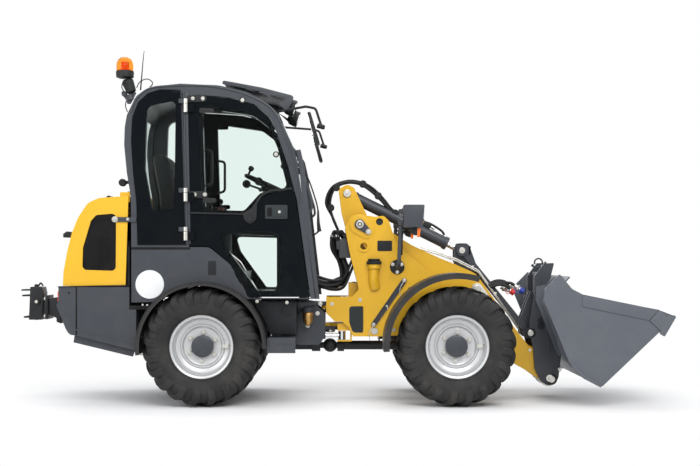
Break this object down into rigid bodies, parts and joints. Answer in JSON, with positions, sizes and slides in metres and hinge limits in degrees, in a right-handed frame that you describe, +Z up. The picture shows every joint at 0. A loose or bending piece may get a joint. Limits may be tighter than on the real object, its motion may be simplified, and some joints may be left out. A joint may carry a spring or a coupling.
{
  "type": "compact articulated wheel loader",
  "caption": "Compact wheel loader with centre-hinged frame, full cab, parallel loader linkage, quick hitch and earth bucket.",
  "frame": {"origin": "on the ground, in the middle of the machine's box", "axes": "+X is the direction of travel, +Y the machine's left, +Z up"},
  "size_m": [4.4962, 1.46, 2.39],
  "materials": {
    "yellow_paint": "semi-gloss",
    "grey_paint": "satin",
    "black_paint": "satin",
    "tyre": "matt",
    "rim": "satin",
    "glass": "clear",
    "seat": "woven",
    "plastic": "matt",
    "steel": "zinc plated",
    "lamp_red": "gloss",
    "amber": "gloss",
    "iron": "painted"
  },
  "bodies": {
    "rear_frame": {"rear_chassis": "black_paint", "rear_axle": "iron", "engine": "iron", "counterweight": "grey_paint", "tow_hitch": "black_paint", "cab_lower": "grey_paint", "roof": "black_paint", "cab_frame": "black_paint", "cab_glass": "glass", "seat_base": "plastic", "seat": "seat", "steering_column": "plastic", "rear_fenders": "plastic", "tail_lamps": "lamp_red", "beacon": "amber", "work_lamps": "plastic", "mirrors": "plastic", "propshaft_rear": "black_paint"},
    "hood": {"hood": "yellow_paint", "hood_grilles": "plastic"},
    "door_right": {"door_right": "black_paint", "door_glass_right": "glass"},
    "door_left": {"door_left": "black_paint", "door_glass_left": "glass"},
    "front_frame": {"front_chassis": "yellow_paint", "front_axle": "iron", "front_fenders": "plastic", "headlamps": "plastic", "lock_bar": "grey_paint", "propshaft_front": "black_paint"},
    "lift_arm": {"lift_arm": "yellow_paint"},
    "lever_pin": {"lever_pin": "steel"},
    "tilt_lever": {"tilt_lever": "grey_paint"},
    "link_pin": {"link_pin": "steel"},
    "tilt_link": {"tilt_link": "grey_paint"},
    "hitch_pins": {"hitch_pins": "steel"},
    "quick_hitch": {"quick_hitch": "grey_paint", "bucket": "grey_paint"},
    "tilt_barrel": {"tilt_barrel": "grey_paint"},
    "tilt_rod": {"tilt_rod": "steel"},
    "lift_barrel": {"lift_barrel": "grey_paint"},
    "lift_rod": {"lift_rod": "steel"},
    "steer_barrel": {"steer_barrel": "iron"},
    "steer_rod": {"steer_rod": "steel"},
    "wheel_front_left": {"tyre_front_left": "tyre", "rim_front_left": "rim"},
    "wheel_front_right": {"tyre_front_right": "tyre", "rim_front_right": "rim"},
    "wheel_rear_left": {"tyre_rear_left": "tyre", "rim_rear_left": "rim"},
    "wheel_rear_right": {"tyre_rear_right": "tyre", "rim_rear_right": "rim"}
  },
  "joints": [
    {"name": "steer", "type": "hinge", "parent": "rear_frame", "child": "front_frame", "pos_m": [-0.045, 0, 0.59], "axis": [0, 0, 1], "range_deg": [-45, 45]},
    {"name": "wheel_front_left_spin", "type": "hinge", "parent": "front_frame", "child": "wheel_front_left", "pos_m": [0.811, 0.445, 0.405], "axis": [0, 1, 0], "continuous": true},
    {"name": "wheel_front_right_spin", "type": "hinge", "parent": "front_frame", "child": "wheel_front_right", "pos_m": [0.811, -0.445, 0.405], "axis": [0, 1, 0], "continuous": true},
    {"name": "wheel_rear_left_spin", "type": "hinge", "parent": "rear_frame", "child": "wheel_rear_left", "pos_m": [-0.901, 0.445, 0.405], "axis": [0, 1, 0], "continuous": true},
    {"name": "wheel_rear_right_spin", "type": "hinge", "parent": "rear_frame", "child": "wheel_rear_right", "pos_m": [-0.901, -0.445, 0.405], "axis": [0, 1, 0], "continuous": true},
    {"name": "hood_open", "type": "hinge", "parent": "rear_frame", "child": "hood", "pos_m": [-1.4, 0, 1.438], "axis": [0, 1, 0], "range_deg": [0, 55]},
    {"name": "door_right_open", "type": "hinge", "parent": "rear_frame", "child": "door_right", "pos_m": [-1.012, -0.502, 1.4], "axis": [0, 0, -1], "range_deg": [0, 90]},
    {"name": "door_left_open", "type": "hinge", "parent": "rear_frame", "child": "door_left", "pos_m": [-1.012, 0.502, 1.4], "axis": [0, 0, 1], "range_deg": [0, 90]},
    {"name": "lift", "type": "hinge", "parent": "front_frame", "child": "lift_arm", "pos_m": [0.166, 0, 1.238], "axis": [0, -1, 0], "range_deg": [-3, 92]},
    {"name": "hitch_level", "type": "hinge", "parent": "lift_arm", "child": "hitch_pins", "pos_m": [1.5, 0, 0.155], "axis": [0, 1, 0], "range_deg": [-2.75, 69.5]},
    {"name": "tilt", "type": "hinge", "parent": "hitch_pins", "child": "quick_hitch", "pos_m": [1.5, 0, 0.155], "axis": [0, 1, 0], "range_deg": [0, 90]},
    {"name": "lever_level", "type": "hinge", "parent": "lift_arm", "child": "lever_pin", "pos_m": [0.993, 0, 0.783], "axis": [0, 1, 0], "range_deg": [-2.93, 75.02]},
    {"name": "lever_tilt", "type": "hinge", "parent": "lever_pin", "child": "tilt_lever", "pos_m": [0.993, 0, 0.783], "axis": [0, 1, 0], "range_deg": [-0.5, 103.1]},
    {"name": "link_level", "type": "hinge", "parent": "tilt_lever", "child": "link_pin", "pos_m": [0.892, 0, 1.053], "axis": [0, -1, 0], "range_deg": [-3.05, 78.7]},
    {"name": "link_tilt", "type": "hinge", "parent": "link_pin", "child": "tilt_link", "pos_m": [0.892, 0, 1.053], "axis": [0, -1, 0], "range_deg": [-0.5, 107.6]},
    {"name": "tilt_barrel_swing", "type": "hinge", "parent": "front_frame", "child": "tilt_barrel", "pos_m": [0.077, 0, 1.458], "axis": [0, -1, 0], "range_deg": [-3.59, 95.26]},
    {"name": "tilt_rod_slide", "type": "slide", "parent": "tilt_barrel", "child": "tilt_rod", "axis": [0.8955, 0, -0.445], "range_m": [-0.005, 0.46]},
    {"name": "lift_barrel_swing", "type": "hinge", "parent": "front_frame", "child": "lift_barrel", "pos_m": [0.127, 0, 0.791], "axis": [0, -1, 0], "range_deg": [-2.81, 71.4]},
    {"name": "lift_rod_slide", "type": "slide", "parent": "lift_barrel", "child": "lift_rod", "axis": [0.9937, 0, -0.1123], "range_m": [-0.03, 0.552]},
    {"name": "steer_barrel_swing", "type": "hinge", "parent": "rear_frame", "child": "steer_barrel", "pos_m": [-0.42, -0.11, 0.454], "axis": [0, 0, 1], "range_deg": [-7.7, 7.7]},
    {"name": "steer_rod_slide", "type": "slide", "parent": "steer_barrel", "child": "steer_rod", "axis": [0.9998, 0.0217, 0], "range_m": [-0.09, 0.09]}
  ],
  "couplings": [
    {"joint": "hitch_level", "follows": "lift", "ratio": 0.75},
    {"joint": "lever_level", "follows": "lift", "ratio": 0.81},
    {"joint": "lever_tilt", "follows": "tilt", "ratio": 1.14},
    {"joint": "link_level", "follows": "lift", "ratio": 0.85},
    {"joint": "link_tilt", "follows": "tilt", "ratio": 1.19},
    {"joint": "tilt_barrel_swing", "follows": "lift", "ratio": 1.03},
    {"joint": "tilt_rod_slide", "follows": "tilt", "m_per_rad": 0.28902},
    {"joint": "lift_barrel_swing", "follows": "lift", "ratio": 0.77065},
    {"joint": "lift_rod_slide", "follows": "lift", "m_per_rad": 0.34004},
    {"joint": "steer_barrel_swing", "follows": "steer", "ratio": 0.16},
    {"joint": "steer_rod_slide", "follows": "steer", "m_per_rad": 0.095493}
  ]
}
